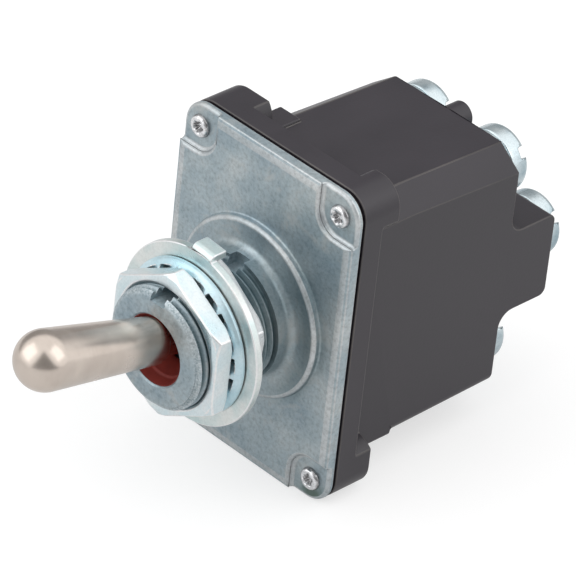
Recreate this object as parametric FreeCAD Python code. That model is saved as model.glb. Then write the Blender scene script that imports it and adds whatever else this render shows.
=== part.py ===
import FreeCAD, Part
import math
import os

# Panel toggle switch, two poles, with screw terminals.
# Millimetres. The origin is on the bushing's axis, in the plane of the round seat that bears on a panel.
# The lever points to -Y, the terminals to +Y, and the keyway is at +Z.

# The two poles and their three rows of terminals, which the body and the plate are laid out around
pole_x = 4.76
terminal_pitch = 9.5
terminal_row_drop = 0.75

# Cover plate, cast in one with the bushing
plate_corner = 2.6
plate_edge = 1.05
plate_crown = 0.2
plate_bevel = 0.6
seat_rise = 0.75
seat_reach = 2.65
seat_slope = 0.1
seat_foot_round = 0.2

# Bushing
bushing_reach = 11.5
collar_step = 0.25
collar_reach = 1.8
collar_foot_round = 0.8
pitch_radius = 5.7
thread_half_depth = 0.25
thread_lead_in = 0.25
bore_radius = 3.5
bore_depth = 6.0
throat_radius = 4.5
key_half_width = 0.9
key_depth = 0.95
key_end = 1.0

# Rivets, and the corner pads that they sit on
rivet_inset_x = 2.2
rivet_inset_z = 2.325
rivet_radius = 0.75
rivet_head_radius = 1.15
rivet_head_rise = 0.5
rivet_head_round = 0.3
rivet_dimple_radius = 0.5
rivet_dimple_depth = 0.35
rivet_tail_radius = 1.1
rivet_tail_rise = 0.5
rivet_pad_radius = 2.4
rivet_pad_drop = 0.6

# Hardware on the bushing, listed from the front
nut_wall = 1.1
nut_thickness = 1.9
front_nut_turn = 29.0
rear_nut_turn = 25.0
nut_countersink = 0.5
nut_edge_chamfer = 0.6
nut_chamfer_angle = 30.0
front_nut_setback = 1.3
tooth_washer_reach = 1.65
tooth_rim_width = 1.15
tooth_count = 20
tooth_half_width = 0.65
tooth_sheet = 0.45
tooth_twist = 40.0
tooth_rim_gap = 0.12
ring_thickness = 0.8
ring_reach = 3.0
ring_clearance = 0.1
ring_turn = 4.0
ring_key_half_width = 0.45
ring_key_clearance = 0.15
ring_tab_half_width = 1.3
ring_tab_rise = 0.55
ring_tab_thickness = 0.75
ring_tab_length = 1.9
ring_tab_round = 0.7

# Lever. Distances run along its axis from the pivot, outwards.
pivot_depth = 4.5
lever_tilt = 14.1
lever_reach = 18.3
lever_tip_radius = 2.85
lever_root_radius = 2.25
lever_shoulder = 4.3
lever_shoulder_round = 0.7
lever_neck_radius = 1.6
lever_shank_radius = 1.5
lever_shank_grip = 3.8
pin_radius = 0.8
pin_half_length = 5.3
pin_running_gap = 0.03

# Rubber seal in the bushing's mouth
seal_setback = 0.45
seal_length = 2.9
seal_mouth_radius = 3.42
seal_lip_radius = 2.15
seal_lip_length = 0.7

# Housing
gasket_thickness = 0.35
gasket_inset = 0.35
flange_thickness = 2.3
lug_depth = 2.0
lug_radii = {
    "top_left": 3.9,
    "top_right": 2.6,
    "bottom_left": 3.2,
    "bottom_right": 3.2,
}
body_side_margin = 4.84
body_top_margin = 4.35
body_bottom_margin = 3.15
body_top_draft = 0.55
body_bottom_draft = 0.3
flange_ledge_x = 1.75
flange_ledge_z = 3.35
block_depth = 4.25
block_round = 0.4
ear_outer_x = 8.6
ear_inner_x = 5.8
ear_rise = 0.27
ear_root = 1.0
ear_round = 0.25
top_chamfer_width = 2.6
top_chamfer_front = 1.85
top_chamfer_rear = 2.0
bottom_round = 1.2
rear_step = 24.3
pedestal_rise = 6.0
pedestal_top_setback = 5.0
pedestal_bottom_setback = 4.95
pedestal_edge_round = 0.8
step_cove = 1.6
barrier_half_width = 1.35
barrier_root = 1.0
barrier_rise = 2.1
wall_x = 1.3
wall_z = 1.5
cavity_corner = 1.2
floor_thickness = 7.3
partition_half_width = 0.6
partition_clearance = 1.0

# Terminals and their screws
terminal_barrel_radius = 2.5
terminal_barrel_length = 6.9
terminal_post_half_width = 1.6
terminal_arm_thickness = 1.0
screw_radius = 1.75
screw_length = 5.5
screw_hole_spare = 0.5
screw_side_gap = 0.11
screw_head_height = 2.2
screw_head_dome = 0.7
screw_slot_half_width = 0.55
screw_slot_depth = 0.9
screw_slot_turn = -35.0
washer_thickness = 1.0
washer_hole_radius = 1.9

# Carrier, plungers and springs
carrier_gap = 1.2
carrier_length = 5.0
carrier_side_margin = 2.14
carrier_half_height = 2.3
carrier_round = 0.4
plunger_radius = 1.0
plunger_running_gap = 0.06
plunger_stand_out = 1.6
plunger_length = 4.4
plunger_bore_radius = 0.68
plunger_bore_depth = 2.8
plunger_stroke = 0.5
carrier_bore_spare = 1.1
spring_wire_radius = 0.11
spring_mean_radius = 0.48
spring_turns = 6
spring_end_gap = 0.05

# Rocker contacts
rocker_tilt = 7.0
rocker_gap = 0.14
rocker_rise = 1.0
rocker_sheet = 0.6
rocker_dish_ease = 0.375
rocker_dish_inset = 1.8
rocker_half_width = 1.7
rocker_end_margin = 1.0
saddle_half_height = 1.1
ridge_radius = 0.5
ridge_running_gap = 0.05
ridge_web_half = 0.32
contact_inset = 3.3
contact_radius = 0.9
contact_rise = 0.5
contact_gap = 0.05

# How far a cutting shape runs past what it cuts, and how far fused shapes run into each other
spare = 1.0

# Sizes and places that follow from the ones above
body_half_width = pole_x + body_side_margin
body_top = terminal_pitch - terminal_row_drop + body_top_margin
body_bottom = terminal_pitch + terminal_row_drop + body_bottom_margin
body_rear_top = body_top - body_top_draft
body_rear_bottom = body_bottom - body_bottom_draft
plate_width = 2 * (body_half_width + flange_ledge_x)
plate_height = 2 * (body_bottom + flange_ledge_z)
rivet_spacing_x = plate_width - 2 * rivet_inset_x
rivet_spacing_z = plate_height - 2 * rivet_inset_z
pedestal_top = terminal_pitch - terminal_row_drop - pedestal_top_setback
pedestal_bottom = terminal_pitch + terminal_row_drop - pedestal_bottom_setback
cavity_half_width = body_half_width - wall_x
cavity_top = body_top - wall_z
cavity_bottom = body_bottom - wall_z
cavity_floor = rear_step - floor_thickness
screw_head_radius = pole_x - barrier_half_width - screw_side_gap
washer_radius = screw_head_radius
thread_radius = pitch_radius + thread_half_depth
collar_radius = thread_radius + collar_step
seat_radius = collar_radius + seat_reach
key_floor = thread_radius - key_depth
nut_across_flats = 2 * (pitch_radius + nut_wall)
tooth_washer_radius = thread_radius + tooth_washer_reach
ring_radius = thread_radius + ring_reach
cover_face = seat_rise
edge_front = cover_face + plate_crown
cover_back = edge_front + plate_edge
rivet_seat = cover_face + rivet_pad_drop
housing_front = cover_back + gasket_thickness
flange_back = housing_front + flange_thickness
lug_back = flange_back + lug_depth
block_back = lug_back + block_depth
pedestal_rear = rear_step + pedestal_rise
pivot_y = pivot_depth - bushing_reach
front_nut_front = front_nut_setback - bushing_reach
front_nut_back = front_nut_front + nut_thickness
tooth_lean = math.radians(tooth_twist)
tooth_washer_thickness = tooth_sheet * math.cos(tooth_lean) + 2 * tooth_half_width * math.sin(tooth_lean)
tooth_washer_back = front_nut_back + tooth_washer_thickness
ring_back = tooth_washer_back + ring_thickness
rear_nut_back = ring_back + nut_thickness
carrier_start = cover_back + carrier_gap - pivot_y
carrier_end = carrier_start + carrier_length
carrier_half_width = pole_x + carrier_side_margin
lever_shank_end = carrier_start + lever_shank_grip
plunger_reach = carrier_end + plunger_stand_out
rocker_y = pivot_y + plunger_reach + rocker_gap + rocker_rise
contact_offset = terminal_pitch - contact_inset
rocker_half_length = contact_offset + rocker_end_margin
rocker_dish_half = contact_offset - rocker_dish_inset

# The nose of a plunger swings on an arc in the rocker's own frame, and the dish follows it
nose_arm = plunger_reach - plunger_radius
nose_middle = nose_arm + pivot_y - rocker_y
lever_lean = math.radians(lever_tilt)
rocker_lean = math.radians(rocker_tilt)
nose_y = nose_arm * math.cos(lever_lean) + pivot_y - rocker_y
nose_z = nose_arm * math.sin(lever_lean)
nose_rise = nose_middle - nose_y * math.cos(rocker_lean) + nose_z * math.sin(rocker_lean)
nose_side = nose_z * math.cos(rocker_lean) + nose_y * math.sin(rocker_lean)
nose_sweep = (nose_side ** 2 + nose_rise ** 2) / (2 * nose_rise)
rocker_dish_radius = nose_sweep + plunger_radius + rocker_gap + rocker_dish_ease
dish_centre = -rocker_rise - rocker_dish_radius
wing_top = dish_centre + math.sqrt(rocker_dish_radius ** 2 - rocker_dish_half ** 2)
wing_under = wing_top + rocker_sheet
terminal_rows = {
    "top": terminal_pitch - terminal_row_drop,
    "middle": -terminal_row_drop,
    "bottom": -terminal_pitch - terminal_row_drop,
}
terminal_rears = {"top": rear_step, "middle": pedestal_rear, "bottom": rear_step}
poles = {"left": -pole_x, "right": pole_x}
rivet_places = {
    "top_left": (-rivet_spacing_x / 2, rivet_spacing_z / 2),
    "top_right": (rivet_spacing_x / 2, rivet_spacing_z / 2),
    "bottom_left": (-rivet_spacing_x / 2, -rivet_spacing_z / 2),
    "bottom_right": (rivet_spacing_x / 2, -rivet_spacing_z / 2),
}

X = FreeCAD.Vector(1, 0, 0)
Y = FreeCAD.Vector(0, 1, 0)
Z = FreeCAD.Vector(0, 0, 1)


def point(x, y, z):
    return FreeCAD.Vector(x, y, z)


def rod(radius, front, back, x=0.0, z=0.0):
    """A round bar along Y, from front to back."""
    return Part.makeCylinder(radius, back - front, point(x, front, z), Y)


def cross_rod(radius, low_x, high_x, y, z):
    """A round bar along X."""
    return Part.makeCylinder(radius, high_x - low_x, point(low_x, y, z), X)


def cone(front_radius, back_radius, front, back):
    """A frustum on the bushing's axis."""
    return Part.makeCone(front_radius, back_radius, back - front, point(0, front, 0), Y)


def block(x, y, z):
    """A box from three pairs of limits."""
    corner = point(x[0], y[0], z[0])
    return Part.makeBox(x[1] - x[0], y[1] - y[0], z[1] - z[0], corner)


def fuse(first, *others):
    """One solid from several that meet."""
    return first.multiFuse(list(others)).removeSplitter()


def mirrored_x(shape):
    return shape.mirror(point(0, 0, 0), X)


def edges_along(shape, direction):
    """The straight edges of a shape that run along one direction."""
    found = []
    for edge in shape.Edges:
        run = edge.Vertexes[-1].Point - edge.Vertexes[0].Point
        if run.Length > 0 and abs(run.dot(direction)) > 0.999 * run.Length:
            found.append(edge)
    return found


def rounded_wire(width, height, corner, y):
    """A rectangle with round corners, centred on the axis, in a plane across Y."""
    half_x = width / 2
    half_z = height / 2
    flat_x = half_x - corner
    flat_z = half_z - corner
    lean = corner * math.sqrt(0.5)
    edges = []
    for sx, sz in ((1, 1), (-1, 1), (-1, -1), (1, -1)):
        start = point(sx * half_x, y, sz * flat_z)
        middle = point(sx * (flat_x + lean), y, sz * (flat_z + lean))
        end = point(sx * flat_x, y, sz * half_z)
        if sx * sz > 0:
            edges.append(Part.Arc(start, middle, end).toShape())
        else:
            edges.append(Part.Arc(end, middle, start).toShape())
    for last, first in zip(list(edges), edges[1:] + edges[:1]):
        edges.append(Part.makeLine(last.Vertexes[-1].Point, first.Vertexes[0].Point))
    return Part.Wire(Part.__sortEdges__(edges))


def rounded_slab(width, height, corner, front, back):
    """A plate across Y with round corners."""
    return Part.Face(rounded_wire(width, height, corner, front)).extrude(Y * (back - front))


def turned(profile, origin):
    """A solid turned about the Y axis through origin, from (radius, distance in front) pairs."""
    corners = [point(origin.x + r, origin.y - s, origin.z) for r, s in profile]
    face = Part.Face(Part.makePolygon(corners + corners[:1]))
    return face.revolve(origin, Y, 360)


PIVOT = point(0, pivot_y, 0)


def tilted(shape):
    """Turns a shape of the lever's body about the pivot, from the centre position to the one at rest."""
    moved = shape.copy()
    moved.rotate(PIVOT, X, -lever_tilt)
    return moved


def bushing():
    """The threaded stem, with the engaged stretches under the nuts at the pitch radius."""
    tip = -bushing_reach
    lead_in = cone(thread_radius - thread_lead_in, thread_radius, tip, tip + thread_lead_in)
    return fuse(
        rod(collar_radius, -collar_reach, cover_face),
        lead_in,
        rod(thread_radius, tip + thread_lead_in, front_nut_front),
        rod(pitch_radius, front_nut_front, front_nut_back),
        rod(thread_radius, front_nut_back, ring_back),
        rod(pitch_radius, ring_back, rear_nut_back),
        rod(thread_radius, rear_nut_back, -collar_reach),
    )


def keyway():
    """The slot along the top of the bushing, from its end nearly to the seat."""
    half = key_half_width
    return block((-half, half), (-bushing_reach - spare, -key_end), (key_floor, 2 * collar_radius))


def seat():
    """The round seat with its filleted foot on the plate, and the filleted foot of the collar on it."""
    wall = seat_radius + seat_slope
    foot = wall + seat_foot_round
    fillet_top = seat_foot_round - seat_rise
    lean = math.sqrt(0.5)

    def at(radius, rise):
        return point(radius, -rise, 0)

    foot_start = at(wall, fillet_top)
    foot_middle = at(foot - seat_foot_round * lean, fillet_top - seat_foot_round * lean)
    foot_end = at(foot, -seat_rise)
    heel = collar_radius + collar_foot_round
    heel_middle = at(heel - collar_foot_round * lean, collar_foot_round * (1 - lean))
    corners = [at(heel, 0), at(seat_radius, 0), foot_start]
    edges = [Part.makeLine(corners[0], corners[1]), Part.makeLine(corners[1], corners[2])]
    edges.append(Part.Arc(foot_start, foot_middle, foot_end).toShape())
    edges.append(Part.makeLine(foot_end, at(0, -seat_rise)))
    edges.append(Part.makeLine(at(0, -seat_rise), at(0, collar_foot_round)))
    edges.append(Part.makeLine(at(0, collar_foot_round), at(collar_radius, collar_foot_round)))
    edges.append(Part.Arc(at(collar_radius, collar_foot_round), heel_middle, at(heel, 0)).toShape())
    return Part.Face(Part.Wire(Part.__sortEdges__(edges))).revolve(point(0, 0, 0), Y, 360)


def rivet_pad(x, z):
    """What is lowered around a rivet: a round that runs out over both edges of the plate."""
    out_x = math.copysign(plate_width, x)
    out_z = math.copysign(plate_height, z)
    in_x = x - math.copysign(rivet_pad_radius, x)
    in_z = z - math.copysign(rivet_pad_radius, z)
    side = block(sorted((x, out_x)), (0, rivet_seat), sorted((in_z, out_z)))
    end = block(sorted((in_x, out_x)), (0, rivet_seat), sorted((z, out_z)))
    return fuse(rod(rivet_pad_radius, 0, rivet_seat, x, z), side, end)


def cover_and_bushing():
    straight = rounded_slab(plate_width, plate_height, plate_corner, edge_front, cover_back)
    outer = rounded_wire(plate_width, plate_height, plate_corner, edge_front)
    inner = rounded_wire(
        plate_width - 2 * plate_bevel, plate_height - 2 * plate_bevel, plate_corner - plate_bevel, cover_face
    )
    crown = Part.makeLoft([inner, outer], True, True)
    cover = fuse(straight, crown, seat(), bushing())
    for x, z in rivet_places.values():
        cover = cover.cut(rivet_pad(x, z))
        cover = cover.cut(rod(rivet_radius, 0, cover_back, x, z))
    bore_end = bore_depth - bushing_reach
    cover = cover.cut(rod(bore_radius, -bushing_reach - spare, bore_end))
    cover = cover.cut(cone(bore_radius, throat_radius, bore_end, cover_back))
    cover = cover.cut(keyway())
    return cover.cut(cross_rod(pin_radius, -pin_half_length, thread_radius + spare, pivot_y, 0))


def nut(front, turn):
    """A hexagon nut with chamfered corners and countersunk mouths."""
    back = front + nut_thickness
    corner = nut_across_flats / 2 / math.cos(math.radians(30))
    angles = [math.radians(turn + 60 * i) for i in range(7)]
    outline = [point(corner * math.cos(a), front, corner * math.sin(a)) for a in angles]
    body = Part.Face(Part.makePolygon(outline)).extrude(Y * nut_thickness)
    rim = corner - nut_edge_chamfer
    side = nut_edge_chamfer * math.tan(math.radians(nut_chamfer_angle))
    turned_down = fuse(
        cone(rim, corner, front, front + side),
        rod(corner, front + side, back - side),
        cone(corner, rim, back - side, back),
    )
    body = body.common(turned_down).cut(rod(pitch_radius, front, back))
    mouth = pitch_radius + nut_countersink
    body = body.cut(cone(mouth, pitch_radius, front, front + nut_countersink))
    return body.cut(cone(pitch_radius, mouth, back - nut_countersink, back))


def tooth_washer():
    """A lock washer with a flat outer rim and twisted inner teeth."""
    middle = (front_nut_back + tooth_washer_back) / 2
    half = tooth_sheet / 2
    rim_back = tooth_washer_back - tooth_rim_gap
    rim_front = rim_back - tooth_sheet
    inner = tooth_washer_radius - tooth_rim_width
    rim = rod(tooth_washer_radius, rim_front, rim_back).cut(rod(inner, rim_front, rim_back))
    reach = (thread_radius + ring_clearance, inner + tooth_rim_width / 2)
    tooth = block(reach, (middle - half, middle + half), (-tooth_half_width, tooth_half_width))
    tooth.rotate(point(0, middle, 0), X, tooth_twist)
    teeth = []
    for i in range(tooth_count):
        copy = tooth.copy()
        copy.rotate(point(0, middle, 0), Y, 360.0 * i / tooth_count)
        teeth.append(copy)
    return fuse(rim, *teeth)


def locking_ring():
    """A flat ring with a key in the keyway and a tab bent back at its top."""
    front = tooth_washer_back
    hole = thread_radius + ring_clearance
    ring = rod(ring_radius, front, ring_back).cut(rod(hole, front, ring_back))
    key_low = key_floor + ring_key_clearance
    key = block((-ring_key_half_width, ring_key_half_width), (front, ring_back), (key_low, hole + spare))
    half = (-ring_tab_half_width, ring_tab_half_width)
    top = ring_radius + ring_tab_rise
    arm = block(half, (front, ring_back), (ring_radius - ring_tab_thickness, top))
    bend = block(half, (front, front + ring_tab_length), (top - ring_tab_thickness, top))
    tab = fuse(arm, bend)
    crest = [e for e in edges_along(tab, X) if e.CenterOfMass.z > top - 0.01 and e.CenterOfMass.y < ring_back]
    tab = tab.makeFillet(ring_tab_round, crest)
    shape = fuse(ring, key, tab)
    shape.rotate(point(0, front, 0), Y, ring_turn)
    return shape


def rivet(x, z):
    """A tubular rivet, from its dimpled head on the pad to its rolled tail behind the lug."""
    head_front = rivet_seat - rivet_head_rise
    head = rod(rivet_head_radius, head_front, rivet_seat, x, z)
    head = head.makeFillet(rivet_head_round, [head.Edges[2]])
    shank = rod(rivet_radius, rivet_seat, lug_back, x, z)
    tail = rod(rivet_tail_radius, lug_back, lug_back + rivet_tail_rise, x, z)
    dimple = rod(rivet_dimple_radius, head_front, head_front + rivet_dimple_depth, x, z)
    return fuse(head, shank, tail).cut(dimple)


def lever():
    """The bat handle, its neck in the bushing and the shank that holds the carrier."""
    shoulder = lever_shoulder + lever_shoulder_round
    round_in = lever_shoulder_round * (1 - math.sqrt(0.5))
    waist = [
        (0, -lever_shank_end),
        (lever_shank_radius, -lever_shank_end),
        (lever_shank_radius, -2 * pin_radius - lever_neck_radius),
        (lever_neck_radius, -2 * pin_radius),
        (lever_neck_radius, lever_shoulder - lever_shoulder_round / 2),
        (lever_root_radius - lever_shoulder_round, lever_shoulder),
        (lever_root_radius - round_in, lever_shoulder + round_in),
        (lever_root_radius, shoulder),
        (lever_tip_radius, lever_reach),
        (0, lever_reach),
    ]
    body = turned(waist, PIVOT)
    tip = Part.makeSphere(lever_tip_radius, PIVOT - Y * lever_reach)
    body = fuse(body, tip)
    hole = pin_radius + pin_running_gap
    body = body.cut(cross_rod(hole, -lever_neck_radius * 2, lever_neck_radius * 2, pivot_y, 0))
    return tilted(body)


def pivot_pin():
    return cross_rod(pin_radius, -pin_half_length, pin_half_length, pivot_y, 0)


def lever_seal():
    """A rubber ring with a funnel mouth and a lip round the lever's neck."""
    front = seal_setback - bushing_reach
    back = front + seal_length
    seal = rod(bore_radius, front, back)
    lip_front = back - seal_lip_length
    seal = seal.cut(cone(seal_mouth_radius, seal_lip_radius, front, lip_front))
    return seal.cut(rod(seal_lip_radius, lip_front, back))


def plunger_bore_start():
    """Where the bores in the carrier begin, measured along the lever from the pivot, inwards."""
    return plunger_reach - plunger_length - carrier_bore_spare


def carrier():
    """A moulded block on the lever's shank, with a bore for each plunger."""
    near = pivot_y + carrier_start
    far = pivot_y + carrier_end
    wide = (-carrier_half_width, carrier_half_width)
    body = block(wide, (near, far), (-carrier_half_height, carrier_half_height))
    body = body.makeFillet(carrier_round, edges_along(body, Y) + edges_along(body, X))
    body = body.cut(rod(lever_shank_radius, near - spare, pivot_y + lever_shank_end))
    for x in poles.values():
        bore = plunger_radius + plunger_running_gap
        body = body.cut(rod(bore, pivot_y + plunger_bore_start(), far + spare, x))
    return tilted(body)


def plunger(x):
    """A hollow plunger with a round nose, open towards its spring."""
    back = pivot_y + plunger_reach - plunger_length
    nose = pivot_y + plunger_reach - plunger_radius
    body = fuse(rod(plunger_radius, back, nose, x), Part.makeSphere(plunger_radius, point(x, nose, 0)))
    return tilted(body.cut(rod(plunger_bore_radius, back, back + plunger_bore_depth, x)))


def spring(x):
    """The coil spring between the carrier and a plunger."""
    near = pivot_y + plunger_bore_start() + spring_wire_radius + spring_end_gap
    far = pivot_y + plunger_reach - plunger_length + plunger_bore_depth - spring_wire_radius - spring_end_gap
    pitch = (far - near) / spring_turns
    helix = Part.makeHelix(pitch, far - near, spring_mean_radius)
    section = Part.Wire(Part.makeCircle(spring_wire_radius, point(spring_mean_radius, 0, 0), Y))
    coil = Part.Wire(helix.Edges).makePipeShell([section], True, True)
    coil.rotate(point(0, 0, 0), X, -90)
    coil.translate(point(x, near, 0))
    return tilted(coil)


def rocked(shape):
    """Tilts a rocker's shape from level to its place at rest, its lower end pressed in."""
    moved = shape.copy()
    moved.rotate(point(0, rocker_y, 0), X, rocker_tilt)
    return moved


def rocker(x):
    """A dished contact bar that tilts on its terminal's ridge, with two flat wings."""
    wide = (x - rocker_half_width, x + rocker_half_width)
    centre = rocker_y + dish_centre
    inner = cross_rod(rocker_dish_radius, wide[0], wide[1], centre, 0)
    outer = cross_rod(rocker_dish_radius + rocker_sheet, wide[0], wide[1], centre, 0)
    span = (-rocker_dish_half, rocker_dish_half)
    dish = outer.cut(inner).common(block(wide, (centre, rocker_y), span))
    wing_y = (rocker_y + wing_top, rocker_y + wing_under)
    root = rocker_dish_half - rocker_sheet
    upper = block(wide, wing_y, (root, rocker_half_length))
    lower = block(wide, wing_y, (-rocker_half_length, -root))
    wings = fuse(upper, dish, lower).cut(inner)
    saddle_front = rocker_y - rocker_rise + rocker_sheet / 2
    saddle = block(wide, (saddle_front, rocker_y), (-saddle_half_height, saddle_half_height))
    body = fuse(wings, saddle)
    groove = ridge_radius + ridge_running_gap
    body = body.cut(cross_rod(groove, wide[0] - spare, wide[1] + spare, rocker_y, 0))
    for side in (-1, 1):
        body = body.cut(moving_contact_shape(x, side))
    return rocked(body)


def moving_contact_shape(x, side):
    """A contact rivet through a rocker's wing, level."""
    z = side * contact_offset
    shank = rod(contact_radius / 2, rocker_y + wing_top, rocker_y + wing_under, x, z)
    button = rod(contact_radius, rocker_y + wing_under, rocker_y + wing_under + contact_rise, x, z)
    return fuse(shank, button)


def fixed_contact_front():
    """Where the fixed contact's face lies, a small gap behind the rim of the pressed moving one."""
    button = wing_under + contact_rise
    rim = contact_offset + contact_radius
    lean = math.radians(rocker_tilt)
    return rocker_y + button * math.cos(lean) + rim * math.sin(lean) + contact_gap


def fixed_contact(x, side):
    """A contact rivet in an end terminal's arm."""
    front = fixed_contact_front()
    z = side * contact_offset
    arm_front = front + contact_rise
    shank = rod(contact_radius / 2, arm_front, arm_front + terminal_arm_thickness, x, z)
    return fuse(rod(contact_radius, front, arm_front, x, z), shank)


def terminal_barrel(x, row):
    """The round threaded end of a terminal, flush with the housing's rear."""
    rear = terminal_rears[row]
    z = terminal_rows[row]
    barrel = rod(terminal_barrel_radius, rear - terminal_barrel_length, rear, x, z)
    hole = rod(screw_radius, rear - screw_length - screw_hole_spare, rear, x, z)
    return barrel, hole


def end_terminal(x, row):
    """An end terminal: barrel, post and the arm that carries the fixed contact."""
    side = 1 if row == "top" else -1
    z = terminal_rows[row]
    half = terminal_post_half_width
    wide = (x - half, x + half)
    arm_front = fixed_contact_front() + contact_rise
    barrel, hole = terminal_barrel(x, row)
    post = block(wide, (arm_front, terminal_rears[row] - terminal_barrel_length + spare), (z - half, z + half))
    tip = side * (contact_offset - half + contact_radius / 2)
    reach = sorted((tip, z))
    arm = block(wide, (arm_front, arm_front + terminal_arm_thickness), reach)
    shape = fuse(post, arm, barrel)
    return shape.cut(hole).cut(fixed_contact(x, side))


def common_terminal(x):
    """A common terminal: barrel, post, and the web and ridge under the rocker."""
    z = terminal_rows["middle"]
    half = terminal_post_half_width
    wide = (x - half, x + half)
    barrel, hole = terminal_barrel(x, "middle")
    shelf = rocker_y + half
    web = block(wide, (rocker_y, shelf + spare), (-ridge_web_half, ridge_web_half))
    ridge = cross_rod(ridge_radius, wide[0], wide[1], rocker_y, 0)
    post = block(wide, (shelf, terminal_rears["middle"] - terminal_barrel_length + spare), (z - half, z + half))
    return fuse(ridge, web, post, barrel).cut(hole)


def terminal_washer(x, row):
    rear = terminal_rears[row]
    z = terminal_rows[row]
    body = rod(washer_radius, rear, rear + washer_thickness, x, z)
    return body.cut(rod(washer_hole_radius, rear, rear + washer_thickness, x, z))


def terminal_screw(x, row):
    """A slotted screw with a low domed head."""
    rear = terminal_rears[row]
    z = terminal_rows[row]
    seat = rear + washer_thickness
    top = seat + screw_head_height
    head = rod(screw_head_radius, seat, top, x, z)
    rim = [edge for edge in head.Edges if abs(edge.CenterOfMass.y - top) < 0.01]
    head = head.makeFillet(screw_head_dome, rim)
    shank = rod(screw_radius, rear - screw_length, seat, x, z)
    half = screw_slot_half_width
    long = screw_head_radius + spare
    slot = block((x - long, x + long), (top - screw_slot_depth, top + spare), (z - half, z + half))
    slot.rotate(point(x, top, z), Y, screw_slot_turn)
    return fuse(head, shank).cut(slot)


def gasket():
    slab = rounded_slab(
        plate_width - 2 * gasket_inset,
        plate_height - 2 * gasket_inset,
        plate_corner - gasket_inset,
        cover_back,
        housing_front,
    )
    slab = slab.cut(cavity(cover_back, housing_front))
    for x, z in rivet_places.values():
        slab = slab.cut(rod(rivet_radius, cover_back, housing_front, x, z))
    return slab


def cavity(front, back):
    """The hollow for the mechanism."""
    half = cavity_half_width
    hollow = block((-half, half), (front, back), (-cavity_bottom, cavity_top))
    return hollow.makeFillet(cavity_corner, edges_along(hollow, Y))


def rear_profile():
    """The body's stepped outline from the side, as a solid as wide as the body."""
    front = block_back
    x = -body_half_width
    cove = step_cove
    soft = pedestal_edge_round
    lean = math.sqrt(0.5)

    def at(y, z):
        return point(x, y, z)

    def arc(start, centre, end, radius):
        middle = (start + end) * 0.5 - centre
        middle.normalize()
        return Part.Arc(start, centre + middle * radius, end).toShape()

    def step(edge_z, out):
        """The cove under the pedestal, its flat and its rounded rear edge, walking backwards."""
        low = at(rear_step, edge_z + out * cove)
        root = at(rear_step + cove, edge_z)
        flat = at(pedestal_rear - soft, edge_z)
        rim = at(pedestal_rear, edge_z - out * soft)
        hollow = arc(low, at(rear_step + cove, edge_z + out * cove), root, cove)
        crest = arc(flat, at(pedestal_rear - soft, edge_z - out * soft), rim, soft)
        return low, [hollow, Part.makeLine(root, flat), crest], rim

    top_start, top_edges, top_rim = step(pedestal_top, 1)
    low_start, low_edges, low_rim = step(-pedestal_bottom, -1)
    top_front = at(front, body_top)
    top_rear = at(rear_step, body_rear_top)
    low_front = at(front, -body_bottom)
    low_rear = at(rear_step, -body_rear_bottom)
    edges = [
        Part.makeLine(top_front, top_rear),
        Part.makeLine(top_rear, top_start),
        *top_edges,
        Part.makeLine(top_rim, low_rim),
        *low_edges,
        Part.makeLine(low_start, low_rear),
        Part.makeLine(low_rear, low_front),
        Part.makeLine(low_front, top_front),
    ]
    wire = Part.Wire(Part.__sortEdges__(edges))
    return Part.Face(wire).extrude(X * (2 * body_half_width))


def top_corner_wedge():
    """What the tapering chamfer takes off the body's top right corner."""

    def triangle(y, top, drop):
        inner = body_half_width - top_chamfer_width
        slope = drop / top_chamfer_width
        corners = [
            point(inner - spare, y, top + spare * slope),
            point(body_half_width + spare, y, top - drop - spare * slope),
            point(body_half_width + spare, y, top + spare * slope),
        ]
        return Part.makePolygon(corners + corners[:1])

    over_block = triangle(flange_back, body_top, top_chamfer_front)
    front = triangle(block_back, body_top, top_chamfer_front)
    rear = triangle(rear_step, body_rear_top, top_chamfer_rear)
    return Part.makeLoft([over_block, front], True, True), Part.makeLoft([front, rear], True, True)


def rear_body():
    body = rear_profile()
    underside = Y * (rear_step - block_back) + Z * (body_bottom - body_rear_bottom)
    low = [e for e in edges_along(body, underside.normalize()) if e.CenterOfMass.z < -pedestal_bottom]
    body = body.makeFillet(bottom_round, low)
    wedge = top_corner_wedge()[1]
    return body.cut(wedge).cut(mirrored_x(wedge))


def ear():
    """The raised block behind the top left lug."""
    top = body_top + ear_rise
    raised = block((-ear_outer_x, -ear_inner_x), (flange_back, block_back), (body_top - ear_root, top))
    crest = [e for e in raised.Edges if e.CenterOfMass.z > body_top and e.CenterOfMass.y > flange_back + ear_round]
    return raised.makeFillet(ear_round, crest)


def barrier():
    """The rounded wall between the two poles, which follows the steps of the rear."""
    half = barrier_half_width
    top = body_rear_top - half
    bottom = half - body_rear_bottom
    wall = block((-half, half), (rear_step - barrier_root, rear_step + barrier_rise), (bottom, top))
    over = pedestal_rear + barrier_rise
    middle = block((-half, half), (rear_step, over), (-pedestal_bottom, pedestal_top))
    ends = [rod(half, rear_step - barrier_root, rear_step + barrier_rise, 0, z) for z in (top, bottom)]
    return fuse(wall, middle, *ends)


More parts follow.
